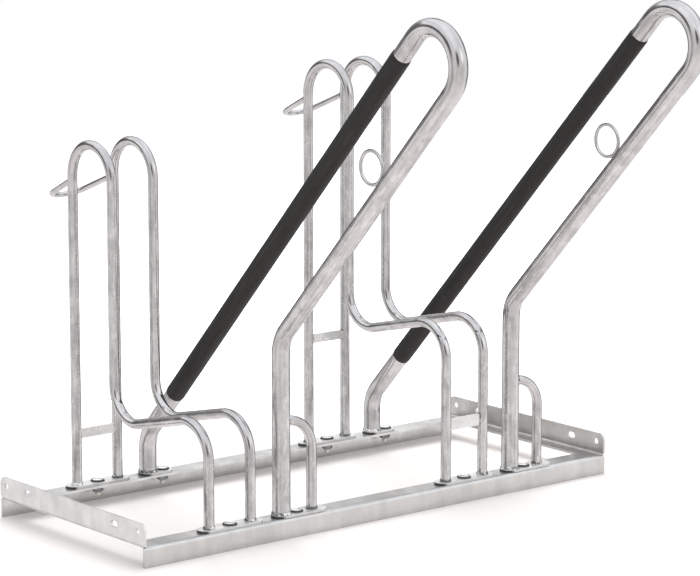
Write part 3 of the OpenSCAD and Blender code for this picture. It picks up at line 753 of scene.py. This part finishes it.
def floor_surface():
    """White paper with the rack's shadow. Metal close above it mirrors it, and further up the metal looks
    through it at the studio."""
    material, tree, shader = plain_material("studio_floor")
    shader.inputs["Base Color"].default_value = (*PAPER, 1)
    shader.inputs["Roughness"].default_value = 1.0
    shader.inputs["Specular IOR Level"].default_value = 0.0
    shader.inputs["Emission Color"].default_value = (1, 1, 1, 1)
    path = put(tree, "LightPath").outputs
    away = put(tree, "VectorMath", {0: by_object(tree)}, operation="LENGTH").outputs["Value"]
    glow = carried(tree, away, NEAR_EDGE, FAR_EDGE, NEAR_GLOW, FAR_GLOW)
    glow = product(tree, path["Is Camera Ray"], glow)
    tree.links.new(glow, shader.inputs["Emission Strength"])
    far = product(tree, carried(tree, path["Ray Length"], MIRRORED_TO, CLEAR_FROM), path["Is Glossy Ray"])
    clear = put(tree, "BsdfTransparent").outputs["BSDF"]
    mixed = put(tree, "MixShader", {0: far, 1: shader.outputs["BSDF"], 2: clear}).outputs["Shader"]
    tree.links.new(mixed, tree.nodes["Material Output"].inputs["Surface"])
    return material


# The studio's walls: degrees to the right of the camera, seen from the rack, and the wall's brightness
WALLS = [(-180, 0.16), (-146, 0.16), (-137, 1.10), (-92, 1.12), (-84, 0.75), (-66, 0.75), (-57, 1.04),
         (-10, 0.96), (20, 0.98), (45, 1.02), (76, 1.14), (94, 1.25), (112, 1.12), (124, 0.95), (133, 0.16),
         (180, 0.16)]
CEILING = (1.37, 1.43, 1.50)
GROUND = (1.17, 1.14, 1.13)
# Heights, from -1 to 1, where the walls go over to the ceiling and to the ground
CEILING_FROM = 0.20
CEILING_FULL = 0.75
GROUND_FROM = -0.26
GROUND_FULL = -0.42
# Soft spots over them, each on top of the last: degrees right, degrees up, half width in degrees, brightness
SPOTS = [(180, 27, 14, 0.12), (180, 12, 14, 1.25), (-130, 14, 18, 0.12), (-114, 9, 16, 0.12),
         (-98, 13, 14, 0.12), (-84, 12, 14, 0.12), (-70, 12, 13, 0.12), (0, 16, 20, 0.12), (58, 24, 20, 1.9)]
PLAIN_LIGHT = (0.80, 0.80, 0.80)
STUDIO_TURN = 129.06
CAMERA_HEADING = 39.063
CAMERA_TILT = 10.378


def studio_world():
    """White for the camera. Metal sees a studio round it: pale walls, a little brighter to the right and dark
    behind the rack, with a bright low spot in the dark, and a cool ceiling. The rest is lit plainly."""
    world = bpy.data.worlds.new("studio_world")
    bpy.context.scene.world = world
    world.use_nodes = True
    tree = world.node_tree
    direction = put(tree, "TexCoord").outputs["Generated"]
    turn = (0, 0, np.radians(STUDIO_TURN))
    turned = put(tree, "Mapping", {"Vector": direction, "Rotation": turn}).outputs["Vector"]
    axes = put(tree, "SeparateXYZ", {"Vector": turned}).outputs
    angle = put(tree, "Math", {0: axes["Y"], 1: axes["X"]}, operation="ARCTAN2").outputs[0]
    share = carried(tree, angle, -np.pi, np.pi)
    half_bright = ramp(tree, share, [(0.5 + degrees / 360, (bright / 2,) * 3) for degrees, bright in WALLS])
    walls = blend(tree, 1.0, half_bright, (2, 2, 2, 1), blend_type="MULTIPLY")
    seen = blend(tree, carried(tree, axes["Z"], CEILING_FROM, CEILING_FULL), walls, (*CEILING, 1))
    seen = blend(tree, carried(tree, axes["Z"], GROUND_FROM, GROUND_FULL), seen, (*GROUND, 1))
    for right, up, half, bright in SPOTS:
        right, up = np.radians(right), np.radians(up)
        middle = (np.cos(right) * np.cos(up), np.sin(right) * np.cos(up), np.sin(up))
        near = put(tree, "VectorMath", {0: turned, 1: middle}, operation="DOT_PRODUCT").outputs["Value"]
        near = carried(tree, near, np.cos(np.radians(half)), np.cos(np.radians(0.4 * half)))
        seen = blend(tree, near, seen, (bright, bright, bright, 1))
    path = put(tree, "LightPath").outputs
    colour = blend(tree, path["Is Glossy Ray"], (*PLAIN_LIGHT, 1), seen)
    colour = blend(tree, path["Is Camera Ray"], colour, (1, 1, 1, 1))
    tree.links.new(colour, tree.nodes["Background"].inputs["Color"])


def rear_lamp():
    """A square soft lamp behind and above the rack, which throws its shadow forward. Metal doesn't mirror
    it."""
    light = bpy.data.lights.new("rear_lamp", "AREA")
    light.size = 3.0
    light.energy = 100
    made = bpy.data.objects.new("rear_lamp", light)
    bpy.context.scene.collection.objects.link(made)
    place, aim = Vector((1.1, 1.5, 3.8)), Vector((0, 0.1, 0.2))
    made.location = place
    made.rotation_euler = (aim - place).to_track_quat("-Z", "Y").to_euler()
    made.visible_glossy = False


def studio_camera():
    """The camera of the picture: 39 degrees round, 10.4 degrees down, far off with a long lens."""
    heading, tilt = np.radians(CAMERA_HEADING), np.radians(CAMERA_TILT)
    forward = Vector((np.sin(heading) * np.cos(tilt), np.cos(heading) * np.cos(tilt), -np.sin(tilt)))
    camera = bpy.data.cameras.new("camera")
    camera.sensor_width = 36.0
    camera.lens = 3088.6 * camera.sensor_width / 700
    camera.clip_end = 50.0
    made = bpy.data.objects.new("camera", camera)
    bpy.context.scene.collection.objects.link(made)
    made.rotation_euler = forward.to_track_quat("-Z", "Y").to_euler()
    made.location = (-3.2036, -3.8807, 1.3077)
    bpy.context.scene.camera = made


def studio_floor():
    """A round sheet of paper under the rack: (R cos a, R sin a, 0)."""
    a = np.linspace(0, 2 * np.pi, 64, endpoint=False)
    mesh = bpy.data.meshes.new("floor")
    mesh.from_pydata(np.stack([6 * np.cos(a), 6 * np.sin(a), 0 * a], 1).tolist(), [], [list(range(64))])
    made = bpy.data.objects.new("floor", mesh)
    bpy.context.scene.collection.objects.link(made)
    mesh.materials.append(floor_surface())


studio_floor()
studio_world()
studio_camera()
rear_lamp()
bpy.context.scene.view_settings.view_transform = "Standard"
